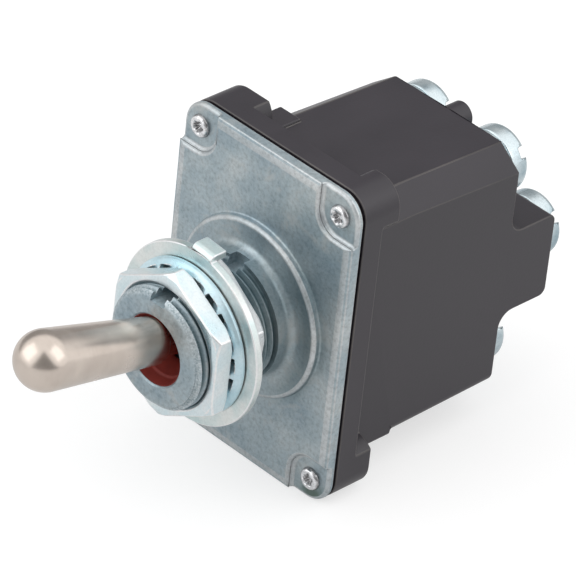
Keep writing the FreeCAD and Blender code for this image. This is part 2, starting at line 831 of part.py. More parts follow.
def housing():
    flange = rounded_slab(plate_width, plate_height, plate_corner, housing_front, flange_back)
    full = rounded_slab(plate_width, plate_height, plate_corner, flange_back, lug_back)
    lugs = []
    for corner, (x, z) in rivet_places.items():
        lugs.append(full.common(rod(lug_radii[corner], flange_back, lug_back, x, z)))
    front = block((-body_half_width, body_half_width), (housing_front, block_back), (-body_bottom, body_top))
    front = front.makeFillet(block_round, edges_along(front, Y))
    corner_wedge = top_corner_wedge()[0]
    front = front.cut(corner_wedge).cut(mirrored_x(corner_wedge))
    body = fuse(flange, front, *lugs, rear_body(), barrier(), ear())
    body = body.cut(cavity(housing_front, cavity_floor))
    half = partition_half_width
    carrier_swing = pivot_y + math.hypot(carrier_end, carrier_half_height)
    wall = block((-half, half), (carrier_swing + partition_clearance, cavity_floor), (-cavity_bottom, cavity_top))
    body = fuse(body, wall)
    for x, z in rivet_places.values():
        body = body.cut(rod(rivet_radius, housing_front, lug_back, x, z))
        body = body.cut(rod(rivet_tail_radius, lug_back, lug_back + rivet_tail_rise, x, z))
    for x in poles.values():
        for row in ("top", "bottom"):
            body = body.cut(end_terminal(x, row).fuse(terminal_barrel(x, row)[1]))
        body = body.cut(common_terminal(x).fuse(terminal_barrel(x, "middle")[1]))
    return body


def build():
    """Every piece by its name."""
    pieces = {
        "cover_and_bushing": cover_and_bushing(),
        "housing": housing(),
        "gasket": gasket(),
        "front_nut": nut(front_nut_front, front_nut_turn),
        "tooth_lock_washer": tooth_washer(),
        "locking_ring": locking_ring(),
        "rear_nut": nut(ring_back, rear_nut_turn),
        "lever": lever(),
        "pivot_pin": pivot_pin(),
        "lever_seal": lever_seal(),
        "carrier": carrier(),
    }
    for corner, (x, z) in rivet_places.items():
        pieces["rivet_" + corner] = rivet(x, z)
    for side, x in poles.items():
        pieces["plunger_" + side] = plunger(x)
        pieces["plunger_spring_" + side] = spring(x)
        pieces["rocker_" + side] = rocker(x)
        pieces["common_terminal_" + side] = common_terminal(x)
        for end, sign in (("top", 1), ("bottom", -1)):
            name = end + "_" + side
            pieces["moving_contact_" + name] = rocked(moving_contact_shape(x, sign))
            pieces["fixed_contact_" + name] = fixed_contact(x, sign)
            pieces["end_terminal_" + name] = end_terminal(x, end)
        for row in terminal_rows:
            pieces["terminal_screw_" + row + "_" + side] = terminal_screw(x, row)
            pieces["screw_washer_" + row + "_" + side] = terminal_washer(x, row)
    return pieces


os.makedirs("parts", exist_ok=True)
for name, shape in build().items():
    solids = shape.Solids
    box = shape.BoundBox
    print(
        f"{name:28s} solids {len(solids)} valid {shape.isValid()} volume {shape.Volume:9.2f}"
        f" x {box.XMin:7.2f} {box.XMax:7.2f} y {box.YMin:7.2f} {box.YMax:7.2f} z {box.ZMin:7.2f} {box.ZMax:7.2f}"
    )
    shape.exportStep("parts/" + name + ".step")
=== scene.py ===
import math

import bmesh
import bpy
from mathutils import Matrix, Vector, noise
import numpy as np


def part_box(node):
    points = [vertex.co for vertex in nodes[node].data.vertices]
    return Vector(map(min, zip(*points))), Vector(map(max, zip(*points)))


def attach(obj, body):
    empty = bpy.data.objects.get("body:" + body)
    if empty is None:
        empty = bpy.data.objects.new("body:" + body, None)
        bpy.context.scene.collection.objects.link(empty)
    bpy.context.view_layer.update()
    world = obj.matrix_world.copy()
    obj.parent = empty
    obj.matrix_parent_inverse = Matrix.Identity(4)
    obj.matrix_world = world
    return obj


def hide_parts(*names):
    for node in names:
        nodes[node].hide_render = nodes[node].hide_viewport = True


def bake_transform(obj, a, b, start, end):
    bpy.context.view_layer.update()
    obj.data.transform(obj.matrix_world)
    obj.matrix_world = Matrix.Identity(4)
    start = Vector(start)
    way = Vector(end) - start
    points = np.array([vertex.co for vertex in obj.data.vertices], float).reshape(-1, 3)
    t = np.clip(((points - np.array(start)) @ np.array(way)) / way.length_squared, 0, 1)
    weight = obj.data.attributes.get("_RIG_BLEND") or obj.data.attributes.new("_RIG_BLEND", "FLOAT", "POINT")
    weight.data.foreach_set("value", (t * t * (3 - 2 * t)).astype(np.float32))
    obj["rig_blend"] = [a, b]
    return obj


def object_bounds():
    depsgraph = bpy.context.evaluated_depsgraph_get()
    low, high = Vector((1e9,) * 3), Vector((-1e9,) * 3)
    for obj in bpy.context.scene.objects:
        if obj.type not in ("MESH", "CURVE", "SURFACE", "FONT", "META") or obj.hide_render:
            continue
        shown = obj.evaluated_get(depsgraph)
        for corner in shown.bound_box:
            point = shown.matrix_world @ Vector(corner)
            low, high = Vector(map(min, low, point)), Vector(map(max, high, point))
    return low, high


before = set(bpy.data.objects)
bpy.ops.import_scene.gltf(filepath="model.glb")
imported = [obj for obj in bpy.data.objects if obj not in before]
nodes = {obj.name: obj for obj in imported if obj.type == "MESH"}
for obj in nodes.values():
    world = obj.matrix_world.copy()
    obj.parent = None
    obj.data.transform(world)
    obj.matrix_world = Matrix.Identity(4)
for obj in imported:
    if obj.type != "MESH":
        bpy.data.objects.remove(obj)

# The looks of a panel toggle switch: its finishes, and the pieces that stand for the frame's plain solids.
# Metres, in the frame's axes: the lever points to -Y, the terminals to +Y, and the keyway is at +Z.

cad_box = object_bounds()
mm = 0.001
AXIS = Vector((0, 1, 0))
SIDES = ("left", "right")
ROWS = ("top", "middle", "bottom")
CORNERS = ("top_left", "top_right", "bottom_left", "bottom_right")
same_place = 0.01 * mm

# The bushing, its thread and its keyway
bushing_front = -11.5 * mm
collar_front = -1.8 * mm
bore_radius = 3.5 * mm
bore_chamfer = 0.15 * mm
thread_crest = 5.95 * mm
thread_root = 5.5 * mm
thread_pitch = 0.794 * mm
thread_steps = 96
flank_start = 0.22
crest_start = 0.54
crest_end = 0.7
thread_entry = 5.5 * mm
thread_entry_depth = 0.5 * mm
entry_land = 0.3 * mm
entry_bevel = 0.12 * mm
keyway_half = 0.9 * mm
keyway_floor = 5.0 * mm
keyway_open = 7 * mm
keyway_rough = 0.16 * mm
pit_front = -3 * mm
pit_back = -1.3 * mm
pit_rough = 0.15 * mm

# The tent's light, and the edges of its dark opening in the camera's axes
tent_bright = 1.15
tent_dim = 0.4
tent_back = -0.36
wedge_light = 0.3
wedge_top = 0.57
wedge_slope = 0.785

# Rounding leaves out edges folded more than this, in degrees, and forks whose edges lie nearly together
steepest = 140
narrow_fork = 0.85

# How wide the edges are rounded
plate_rounding = 0.34 * mm
seal_rounding = 0.08 * mm
tooth_rounding = 0.06 * mm
nut_rounding = 0.14 * mm
ring_rounding = 0.12 * mm
housing_rounding = 0.12 * mm
screw_rounding = 0.2 * mm

# The plate, its seat and its rivets
plate_face = 0.75 * mm
pad_face = 1.35 * mm
seat_radius = 8.85 * mm
seat_outside = 10.5 * mm
seat_foot_start = 0.3 * mm
collar_shown = -0.6 * mm
rivet_head_rise = 0.5 * mm
rivet_shank = 0.75 * mm
rivet_tail = 1.1 * mm
rivet_tail_rise = 0.5 * mm
rivet_tail_bevel = 0.15 * mm

# The lever, measured along itself from the pivot: its taper and its inner end lie inwards, the rest outwards
pivot = Vector((0, -7 * mm, 0))
lever_tilt = math.radians(14.1)
lever_reach = 18.3 * mm
lever_tip = 2.85 * mm
lever_root = 2.25 * mm
lever_neck = 1.6 * mm
lever_shank = 1.5 * mm
lever_taper_start = 1.6 * mm
lever_taper_end = 3.2 * mm
lever_inner_end = 14.0 * mm
lever_shoulder = 4.3 * mm
lever_shoulder_round = 0.7 * mm
turning_steps = 128


def tone(red, green, blue):
    """A colour from its screen values, 0 to 255, as the linear values that a shader takes."""
    out = []
    for value in (red, green, blue):
        share = value / 255
        out.append(share / 12.92 if share <= 0.04045 else ((share + 0.055) / 1.055) ** 2.4)
    return (*out, 1.0)


def join(tree, value, socket):
    """Links a node's output to a socket, or sets the socket to a plain value."""
    if isinstance(value, bpy.types.NodeSocket):
        tree.links.new(value, socket)
    else:
        socket.default_value = value


class Finish:
    """A material under construction: a Principled shader and the nodes that feed it."""

    def __init__(self, name, metallic, roughness):
        self.material = bpy.data.materials.new(name)
        self.material.use_nodes = True
        self.tree = self.material.node_tree
        self.shader = self.tree.nodes["Principled BSDF"]
        self.shader.inputs["Metallic"].default_value = metallic
        self.shader.inputs["Roughness"].default_value = roughness
        self.where = self.tree.nodes.new("ShaderNodeTexCoord").outputs["Object"]

    def node(self, kind, inputs, **settings):
        """Adds a node, with its settings and then its inputs."""
        made = self.tree.nodes.new(kind)
        for name, value in settings.items():
            setattr(made, name, value)
        for name, value in inputs.items():
            join(self.tree, value, made.inputs[name])
        return made

    def noise(self, size, detail=4.0, roughness=0.55, stretch=(1, 1, 1), warp=0.0):
        """Cloudy noise whose patches are about that size, in metres."""
        spread = self.node("ShaderNodeMapping", {"Vector": self.where, "Scale": stretch})
        inputs = {
            "Vector": spread.outputs["Vector"],
            "Scale": 1 / size,
            "Detail": detail,
            "Roughness": roughness,
            "Distortion": warp,
        }
        return self.node("ShaderNodeTexNoise", inputs).outputs["Fac"]

    def ramp(self, factor, stops):
        """A colour ramp from (place, colour) stops, or a grey one from (place, number) stops."""
        made = self.node("ShaderNodeValToRGB", {"Fac": factor})
        elements = made.color_ramp.elements
        while len(elements) < len(stops):
            elements.new(0.5)
        for element, (place, colour) in zip(elements, stops):
            element.position = place
            element.color = colour if isinstance(colour, tuple) else (colour, colour, colour, 1)
        return made.outputs["Color"]

    def sums(self, operation, first, second, third=0.0):
        """The result of a sum on up to three numbers."""
        made = self.node("ShaderNodeMath", {0: first, 1: second, 2: third}, operation=operation)
        return made.outputs[0]

    def blend(self, factor, under, over, mode="MIX"):
        """One colour laid over another, by a factor."""
        inputs = {"Factor": factor, 6: under, 7: over}
        return self.node("ShaderNodeMix", inputs, data_type="RGBA", blend_type=mode).outputs[2]

    def part(self, axis):
        """One coordinate of the place, by its letter."""
        return self.node("ShaderNodeSeparateXYZ", {0: self.where}).outputs[axis]

    def distance(self, across, up):
        """The length of two offsets at right angles."""
        flat = self.node("ShaderNodeCombineXYZ", {"X": across, "Z": up})
        return self.node("ShaderNodeVectorMath", {0: flat.outputs[0]}, operation="LENGTH").outputs["Value"]

    def radius(self):
        """The distance from the bushing's axis."""
        return self.distance(self.part("X"), self.part("Z"))

    def fade(self, value, low, high, start=0.0, end=1.0):
        """A number that goes from start to end while the value goes from low to high."""
        inputs = {"Value": value, "From Min": low, "From Max": high, "To Min": start, "To Max": end}
        return self.node("ShaderNodeMapRange", inputs).outputs[0]

    def band(self, value, centre, half_width, soft):
        """1 inside a band of values, falling to 0 over a soft edge."""
        off = self.sums("ABSOLUTE", self.sums("SUBTRACT", value, centre), 0.0)
        return self.fade(off, half_width, half_width + soft, 1.0, 0.0)

    def colour(self, value):
        """Gives the shader its colour."""
        self.feed("Base Color", value)

    def feed(self, socket, value):
        """Gives one of the shader's inputs its value."""
        join(self.tree, value, self.shader.inputs[socket])

    def bump(self, height, depth, strength=1.0):
        """Relief of that depth, in metres, on top of any relief already there."""
        inputs = {"Height": height, "Distance": depth, "Strength": strength}
        made = self.node("ShaderNodeBump", inputs)
        if self.shader.inputs["Normal"].links:
            self.tree.links.new(self.shader.inputs["Normal"].links[0].from_socket, made.inputs["Normal"])
        self.tree.links.new(made.outputs["Normal"], self.shader.inputs["Normal"])


def cast_zinc(name, low, mid, high, shine):
    """Dull blue-grey plating on a die casting, mottled, with pale wear."""
    finish = Finish(name, metallic=0.7, roughness=0.4)
    clouds = finish.noise(6 * mm, detail=6, roughness=0.6)
    base = finish.ramp(clouds, [(0.32, low), (0.5, mid), (0.68, high)])
    speckle = finish.noise(0.4 * mm, detail=6, roughness=0.7)
    spots = finish.ramp(speckle, [(0.36, 0.72), (0.5, 0.97), (0.66, 1.12)])
    mottled = finish.blend(0.8, base, spots, "MULTIPLY")
    frost = finish.noise(4 * mm, detail=8, roughness=0.75, warp=0.6)
    worn = finish.ramp(frost, [(0.54, 0.0), (0.68, 0.75)])
    finish.colour(finish.blend(worn, mottled, tone(196, 198, 196)))
    rough = finish.ramp(clouds, [(0.3, 0.34), (0.7, 0.44)])
    finish.feed("Roughness", finish.sums("MULTIPLY_ADD", worn, 0.16, rough))
    finish.bump(finish.noise(0.6 * mm, detail=6), 0.016 * mm * shine)
    finish.bump(finish.noise(3 * mm, detail=3), 0.05 * mm * shine)
    return finish


def green_patch_mask(finish):
    """Where the plate is darker green, in a ragged patch round its lower right corner, below the rivet."""
    patch_x = 9.6 * mm
    patch_z = -16.3 * mm
    patch_core = 1.6 * mm
    patch_reach = 3.2 * mm
    off_x = finish.sums("SUBTRACT", finish.part("X"), patch_x)
    off_z = finish.sums("SUBTRACT", finish.part("Z"), patch_z)
    away = finish.distance(off_x, off_z)
    ragged = finish.sums("MULTIPLY_ADD", finish.noise(1.2 * mm, detail=5), 1.6 * mm, away)
    return finish.fade(ragged, patch_core, patch_reach, 0.75, 0.0)


def painted_shade_mask(finish):
    """Where painted shade darkens the casting: on the collar behind the nuts, in the thread's root and to the
    right of the seat, where it mirrors the nuts.
    """
    collar_dark = 6.4 * mm
    collar_clear = 7.6 * mm
    dark_start = -9.5 * mm
    dark_full = -7.5 * mm
    seat_middle = 9.0 * mm
    seat_half = 0.5 * mm
    right_start = 3.0 * mm
    right_full = 6.5 * mm
    around = finish.radius()
    along = finish.part("Y")
    ragged = finish.sums("MULTIPLY_ADD", finish.noise(2.5 * mm, detail=4), 1.2 * mm, around)
    collar = finish.fade(ragged, collar_dark, collar_clear, 0.5, 0.0)
    behind_nuts = finish.fade(along, dark_start, dark_full)
    on_collar = finish.sums("MULTIPLY", collar, behind_nuts)
    root = finish.fade(around, thread_root + 0.05 * mm, thread_crest - 0.1 * mm, 0.8, 0.0)
    past_entry = finish.fade(along, bushing_front + 0.1 * mm, bushing_front + 0.4 * mm)
    in_thread = finish.sums("MULTIPLY", root, past_entry)
    dark = finish.sums("MAXIMUM", on_collar, in_thread)
    on_top = finish.fade(finish.part("Z"), keyway_floor - 1.0 * mm, keyway_floor - 0.5 * mm)
    slot_width = finish.band(finish.part("X"), 0.0, keyway_half + 0.05 * mm, 0.1 * mm)
    in_keyway = finish.sums("MULTIPLY", slot_width, on_top)
    outside_keyway = finish.sums("MULTIPLY", dark, finish.sums("SUBTRACT", 1.0, in_keyway))
    seat = finish.band(ragged, seat_middle, seat_half, 1.1 * mm)
    rightward = finish.fade(finish.part("X"), right_start, right_full, 0.0, 0.45)
    return finish.sums("MULTIPLY_ADD", seat, rightward, outside_keyway)


def polish_mask(finish):
    """Where the nuts have chipped and polished the thread's front turn."""
    turn_middle = bushing_front + 0.2 * mm
    turn_half = 0.55 * mm
    crest = finish.fade(finish.radius(), thread_root - 0.2 * mm, thread_root + 0.1 * mm)
    front = finish.band(finish.part("Y"), turn_middle, turn_half, 0.3 * mm)
    chips = finish.ramp(finish.noise(0.2 * mm, detail=6, roughness=0.75), [(0.44, 0.0), (0.62, 0.6)])
    return finish.sums("MULTIPLY", finish.sums("MULTIPLY", crest, front), chips)


def plate_casting():
    """The cover's casting, with painted shade, a darker green patch at its lower right corner and its
    polished front turn.
    """
    finish = cast_zinc("cover_casting", tone(150, 168, 178), tone(172, 186, 192), tone(196, 204, 206), 1.0)
    base = finish.shader.inputs["Base Color"].links[0].from_socket
    # Painted shade: darker teal on the collar behind the nuts, in the thread's root and to the right of the
    # seat.
    shaded = finish.blend(painted_shade_mask(finish), base, tone(92, 116, 122))
    # A darker green patch at the plate's lower right corner, below the rivet.
    greened = finish.blend(green_patch_mask(finish), shaded, tone(66, 90, 72))
    finish.colour(finish.blend(polish_mask(finish), greened, tone(226, 230, 232)))
    return finish.material


def bright_zinc(name, pale, tint, roughness=0.3, metallic=0.9):
    """Bright zinc plating with a faint blue tint and fine rolling marks."""
    finish = Finish(name, metallic=metallic, roughness=roughness)
    clouds = finish.noise(3.5 * mm, detail=3, roughness=0.5)
    base = finish.ramp(clouds, [(0.35, tint), (0.6, pale)])
    speckle = finish.noise(0.25 * mm, detail=4, roughness=0.6)
    finish.colour(finish.blend(0.2, base, finish.ramp(speckle, [(0.35, 0.6), (0.6, 1.0)]), "MULTIPLY"))
    finish.feed("Roughness", finish.ramp(clouds, [(0.3, roughness - 0.05), (0.7, roughness + 0.08)]))
    finish.bump(finish.noise(0.4 * mm, detail=5), 0.01 * mm)
    return finish.material


def rivet_finish():
    """Bright plating with painted shade in the rolled mouth and round the head's foot."""
    mouth_radius = 0.58 * mm
    foot_radius = 1.3 * mm
    finish = Finish("rivet_plating", metallic=0.95, roughness=0.2)
    low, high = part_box("rivet_top_right")
    centre = (low + high) / 2
    off_x = finish.sums("SUBTRACT", finish.sums("ABSOLUTE", finish.part("X"), 0.0), centre.x)
    off_z = finish.sums("SUBTRACT", finish.sums("ABSOLUTE", finish.part("Z"), 0.0), centre.z)
    away = finish.distance(off_x, off_z)
    ragged = finish.sums("MULTIPLY_ADD", finish.noise(0.35 * mm, detail=3), 0.3 * mm, away)
    mouth = finish.band(ragged, mouth_radius, 0.06 * mm, 0.16 * mm)
    foot = finish.band(ragged, foot_radius, 0.05 * mm, 0.12 * mm)
    # Painted shade, darkening the mouth's hollow and the crease at the head's foot.
    hollow_shade = finish.sums("MULTIPLY", finish.sums("MAXIMUM", mouth, foot), 0.6)
    speckle = finish.noise(0.25 * mm, detail=4)
    base = finish.ramp(speckle, [(0.35, tone(214, 215, 217)), (0.6, tone(246, 247, 250))])
    finish.colour(finish.blend(hollow_shade, base, tone(84, 80, 78)))
    finish.bump(finish.noise(0.3 * mm, detail=4), 0.03 * mm)
    return finish.material


def satin_nickel():
    """Warm satin nickel with very fine turning marks."""
    finish = Finish("satin_nickel", metallic=1.0, roughness=0.24)
    lines = finish.noise(0.5 * mm, detail=3, stretch=(0.15, 3.0, 0.15))
    clouds = finish.noise(3 * mm, detail=3)
    base = finish.ramp(clouds, [(0.3, tone(206, 194, 184)), (0.7, tone(222, 210, 200))])
    finish.colour(finish.blend(0.12, base, finish.ramp(lines, [(0.3, 0.7), (0.7, 1.0)]), "MULTIPLY"))
    finish.feed("Roughness", finish.ramp(clouds, [(0.3, 0.2), (0.7, 0.28)]))
    finish.bump(finish.noise(0.7 * mm, detail=3), 0.004 * mm)
    return finish.material


def moulded_resin(name, dark, light, roughness=0.42, gloss=0.3):
    """Satin moulded resin with flow clouds and a fine mould texture."""
    finish = Finish(name, metallic=0.0, roughness=roughness)
    finish.shader.inputs["Specular IOR Level"].default_value = gloss
    clouds = finish.noise(7 * mm, detail=4, stretch=(1, 0.5, 1))
    fine = finish.noise(0.3 * mm, detail=4)
    base = finish.ramp(clouds, [(0.3, dark), (0.7, light)])
    finish.colour(finish.blend(0.25, base, finish.ramp(fine, [(0.35, 0.75), (0.65, 1.0)]), "MULTIPLY"))
    finish.feed("Roughness", finish.ramp(clouds, [(0.3, roughness - 0.06), (0.7, roughness + 0.06)]))
    finish.bump(fine, 0.008 * mm)
    return finish.material


def soft_rubber(name, dark, light):
    """Matt rubber, a little cloudy."""
    finish = Finish(name, metallic=0.0, roughness=0.55)
    finish.shader.inputs["Specular IOR Level"].default_value = 0.25
    clouds = finish.noise(1.2 * mm, detail=4)
    finish.colour(finish.ramp(clouds, [(0.3, dark), (0.7, light)]))
    finish.bump(finish.noise(0.15 * mm, detail=3), 0.01 * mm)
    return finish.material


def plain_metal(name, dark, light, roughness):
    """A turned or formed metal of the inner parts."""
    finish = Finish(name, metallic=1.0, roughness=roughness)
    clouds = finish.noise(1.5 * mm, detail=5)
    finish.colour(finish.ramp(clouds, [(0.3, dark), (0.7, light)]))
    finish.bump(finish.noise(0.2 * mm, detail=4), 0.005 * mm)
    return finish.material


casting = plate_casting()
# Lighter finish for the plate's rounded edges: partly wear, partly painted highlight along the rims.
wear_and_highlight_zinc = cast_zinc("wear_and_highlight_casting", tone(176, 186, 190), tone(196, 202, 205), tone(216, 219, 219), 0.5)
wear_and_highlight_casting = wear_and_highlight_zinc.material
front_plating = bright_zinc("front_nut_plating", tone(238, 245, 247), tone(218, 238, 244))
# A paler, less metallic copy of the nut plating, painted light: it keeps the rear nut's flats pale though the
# plate blocks what they mirror.
lit_rear_plating = bright_zinc("lit_rear_nut_plating", tone(240, 241, 241), tone(226, 232, 235), metallic=0.35)
washer_plating = bright_zinc("lock_washer_plating", tone(216, 240, 248), tone(188, 224, 236), 0.3, 0.6)
ring_plating = bright_zinc("locking_ring_plating", tone(236, 240, 238), tone(208, 226, 226), 0.32)
# Lighter finish for the rounded edges of the nuts, the washer and the ring: partly wear, partly painted
# highlight.
wear_and_highlight_plating = bright_zinc("wear_and_highlight_plating", tone(250, 250, 250), tone(242, 246, 248), 0.36)
rivet_plating = rivet_finish()
screw_plating = bright_zinc("screw_plating", tone(224, 236, 240), tone(160, 182, 192), 0.22)
nickel = satin_nickel()
housing_resin = moulded_resin("housing_resin", tone(32, 26, 36), tone(43, 37, 46), 0.38, 0.72)
# Lighter finish for the housing's rounded edges: partly wear, partly painted highlight.
wear_and_highlight_resin = moulded_resin("wear_and_highlight_resin", tone(56, 52, 54), tone(92, 87, 86), 0.42, 0.7)
carrier_resin = moulded_resin("carrier_resin", tone(96, 88, 74), tone(118, 108, 92))
nylon = moulded_resin("plunger_nylon", tone(196, 188, 160), tone(214, 208, 184), 0.35)
black_rubber = soft_rubber("gasket_rubber", tone(44, 40, 38), tone(70, 64, 60))
red_rubber = soft_rubber("seal_rubber", tone(126, 48, 42), tone(146, 56, 48))
brass = plain_metal("terminal_brass", tone(190, 160, 92), tone(214, 186, 120), 0.35)
sheet_brass = plain_metal("rocker_brass", tone(200, 164, 96), tone(222, 190, 124), 0.28)
silver = plain_metal("contact_silver", tone(222, 222, 216), tone(240, 240, 236), 0.3)
pin_steel = plain_metal("pin_steel", tone(168, 168, 170), tone(196, 196, 198), 0.25)
spring_steel = plain_metal("spring_steel", tone(146, 146, 150), tone(178, 178, 182), 0.3)


def merged_copy(node):
    """A CAD node's mesh with its triangles joined into whole faces."""
    bm = bmesh.new()
    bm.from_mesh(nodes[node].data)
    bmesh.ops.remove_doubles(bm, verts=bm.verts, dist=same_place)
    bmesh.ops.dissolve_limit(bm, angle_limit=math.radians(0.4), verts=bm.verts, edges=bm.edges)
    return bm


def as_object(name, bm):
    """Puts a finished bmesh in the scene, at the origin."""
    mesh = bpy.data.meshes.new(name)
    bm.to_mesh(mesh)
    bm.free()
    for attribute in [a for a in mesh.attributes if a.name == "custom_normal"]:
        mesh.attributes.remove(attribute)
    made = bpy.data.objects.new(name, mesh)
    bpy.context.scene.collection.objects.link(made)
    return made


def finished(made, finish, body="root", replaced=(), crease=30):
    """Gives a piece its finish, its smooth shading and its place in the frame."""
    made.data.materials.clear()
    made.data.materials.append(finish)
    made.data.shade_smooth()
    made.data.set_sharp_from_angle(angle=math.radians(crease))
    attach(made, body)
    if replaced:
        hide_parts(*replaced)
    return made


def weigh_edges(mesh, crease, wide, narrow, sharp):
    """Gives each edge that is to be rounded its share of the rounding.

    Edges that wide picks out get all of it and the others the narrow share. What sharp picks out stays
    sharp, and so do steep folds and forks, where rounding would leave spikes."""
    bm = bmesh.new()
    bm.from_mesh(mesh)
    weight = bm.edges.layers.float.new("bevel_weight_edge")
    for edge in bm.edges:
        if len(edge.link_faces) != 2 or (sharp and sharp(edge)):
            continue
        if wide and wide(edge):
            edge[weight] = 1.0
        elif math.radians(crease) < edge.calc_face_angle() < math.radians(steepest):
            edge[weight] = narrow
    for vert in bm.verts:
        rounded = [e for e in vert.link_edges if e[weight] > 0]
        ways = [(e.other_vert(vert).co - vert.co).normalized() for e in rounded]
        forked = any(a.dot(b) > narrow_fork for i, a in enumerate(ways) for b in ways[i + 1:])
        if forked:
            for edge in rounded:
                edge[weight] = 0.0
    bm.to_mesh(mesh)
    bm.free()


def round_edges(made, width, segments=2, crease=30, edges=None, wide=None, narrow=1.0, sharp=None):
    """Rounds a piece's edges, which take their own finish where edges names one."""
    weigh_edges(made.data, crease, wide, narrow, sharp)
    bevel = made.modifiers.new("soft_edges", "BEVEL")
    bevel.width = width
    bevel.segments = segments
    bevel.limit_method = "WEIGHT"
    bevel.use_clamp_overlap = False
    bevel.miter_outer = "MITER_ARC"
    bevel.harden_normals = True
    if edges:
        made.data.materials.append(edges)
        bevel.material = 1
    return made


def cut(made, other, operation):
    """Cuts or keeps what another closed shape covers, and takes that shape away."""
    step = made.modifiers.new("cut", "BOOLEAN")
    step.operation = operation
    step.object = other
    step.solver = "EXACT"
    bpy.context.view_layer.update()
    ready = made.evaluated_get(bpy.context.evaluated_depsgraph_get())
    old = made.data
    made.modifiers.remove(step)
    made.data = bpy.data.meshes.new_from_object(ready)
    bpy.data.meshes.remove(old)
    bpy.data.objects.remove(other)
    return made


def box_between(low, high):
    """A box between two corners, as a bmesh."""
    bm = bmesh.new()
    middle = (Vector(low) + Vector(high)) / 2
    size = Vector(high) - Vector(low)
    bmesh.ops.create_cube(bm, size=1, matrix=Matrix.Translation(middle) @ Matrix.Diagonal((*size, 1)))
    return bm


def ragged_bar(name, low, high, rough, cells):
    """A bar along the keyway whose sides and floor are rough, as a worn cutter leaves them."""
    coarse = 0.7 * mm
    fine = 0.3 * mm
    rim = 0.05 * mm
    bm = box_between(low, high)
    bmesh.ops.subdivide_edges(bm, edges=bm.edges, cuts=cells, use_grid_fill=True)
    for vert in bm.verts:
        on_side = low[2] + rim < vert.co.z < high[2] - rim
        on_floor = abs(vert.co.z - low[2]) < same_place
        if on_side or on_floor:
            wave = (noise.noise_vector(vert.co / coarse) + 0.5 * noise.noise_vector(vert.co / fine)) * rough
            vert.co += Vector((wave.x, 0.3 * wave.y, 0.4 * wave.z))
    return as_object(name, bm)


def turn(bm, profile, closed, steps=turning_steps, centre=(0, 0, 0)):
    """Spins (radius, y) pairs about the Y axis through a point, into a shape closed at its seam."""
    origin = Vector(centre)
    verts = [bm.verts.new(origin + Vector((radius, y, 0))) for radius, y in profile]
    pairs = list(zip(verts, verts[1:]))
    if closed:
        pairs.append((verts[-1], verts[0]))
    edges = [bm.edges.new(pair) for pair in pairs]
    bmesh.ops.spin(
        bm, geom=verts + edges, cent=origin, axis=AXIS, dvec=(0, 0, 0), angle=2 * math.pi, steps=steps,
        use_merge=True,
    )
    bmesh.ops.remove_doubles(bm, verts=bm.verts, dist=0.0005 * mm)
    bmesh.ops.recalc_face_normals(bm, faces=bm.faces)


def arc(centre_radius, centre_y, radius, start, end, count):
    """Points on an arc of a profile, with angles in degrees from the outward direction."""
    points = []
    for i in range(count + 1):
        angle = math.radians(start + (end - start) * i / count)
        points.append((centre_radius + radius * math.cos(angle), centre_y + radius * math.sin(angle)))
    return points


def thread_mesh():
    """The helix of the thread, a little longer than the stem, with its ends closed."""
    bm = bmesh.new()
    start = bushing_front - 2 * thread_pitch
    turns = math.ceil((collar_front - start) / thread_pitch) + 1
    spare = 0.35 * mm
    profile = [
        (thread_root, 0.0),
        (thread_root, flank_start),
        (thread_crest, crest_start),
        (thread_crest, crest_end),
        (thread_root, 1.0),
    ]
    verts = [bm.verts.new((radius, start + share * thread_pitch, 0)) for radius, share in profile]
    edges = [bm.edges.new(pair) for pair in zip(verts, verts[1:])]
    bmesh.ops.spin(
        bm, geom=verts + edges, cent=(0, 0, 0), axis=AXIS, dvec=(0, thread_pitch / thread_steps, 0),
        angle=2 * math.pi * turns, steps=thread_steps * turns,
    )
    bmesh.ops.remove_doubles(bm, verts=bm.verts, dist=0.002 * mm)
    for place, side in ((bushing_front - spare, -1), (collar_front + spare, 1)):
        everything = bm.verts[:] + bm.edges[:] + bm.faces[:]
        bmesh.ops.bisect_plane(
            bm, geom=everything, dist=1e-7, plane_co=(0, place, 0), plane_no=(0, side, 0), clear_outer=True
        )
    bmesh.ops.holes_fill(bm, edges=[e for e in bm.edges if e.is_boundary], sides=0)
    bmesh.ops.recalc_face_normals(bm, faces=bm.faces)
    return bm


def threaded_stem():
    """The bushing's threaded length, with a worn entry, the bore and the keyway."""
    stem = as_object("bushing_thread", thread_mesh())
    bm = bmesh.new()
    clear_of_crest = thread_crest + 0.1 * mm
    outline = [
        (bore_radius, bushing_front + bore_chamfer),
        (bore_radius + bore_chamfer, bushing_front),
        (thread_entry - entry_land, bushing_front),
        (thread_entry, bushing_front + entry_bevel),
        (clear_of_crest, bushing_front + thread_entry_depth),
        (clear_of_crest, collar_front),
        (bore_radius, collar_front),
    ]
    turn(bm, outline, closed=True)
    cut(stem, as_object("stem_outline", bm), "INTERSECT")
    low = (-keyway_half, bushing_front - 1 * mm, keyway_floor)
    high = (keyway_half, 1 * mm, keyway_open)
    cut(stem, ragged_bar("keyway_cut", low, high, keyway_rough, 24), "DIFFERENCE")
    return finished(stem, casting, crease=35)


def broad_edge(edge):
    """Whether an edge is broadly rounded: the seat's rim, the face's border and the pads' walls."""
    ends = [v.co for v in edge.verts]
    reach = [Vector((co.x, co.z)).length for co in ends]
    on_rim = all(abs(radius - seat_radius) < 2 * same_place for radius in reach)
    if on_rim and all(abs(co.y) < same_place for co in ends):
        return True
    outside = all(radius > seat_outside for radius in reach)
    on_face = all(abs(co.y - plate_face) < same_place for co in ends)
    on_pad = all(abs(co.y - pad_face) < same_place for co in ends)
    return outside and (on_face or on_pad) and edge.calc_face_angle() > math.radians(10)


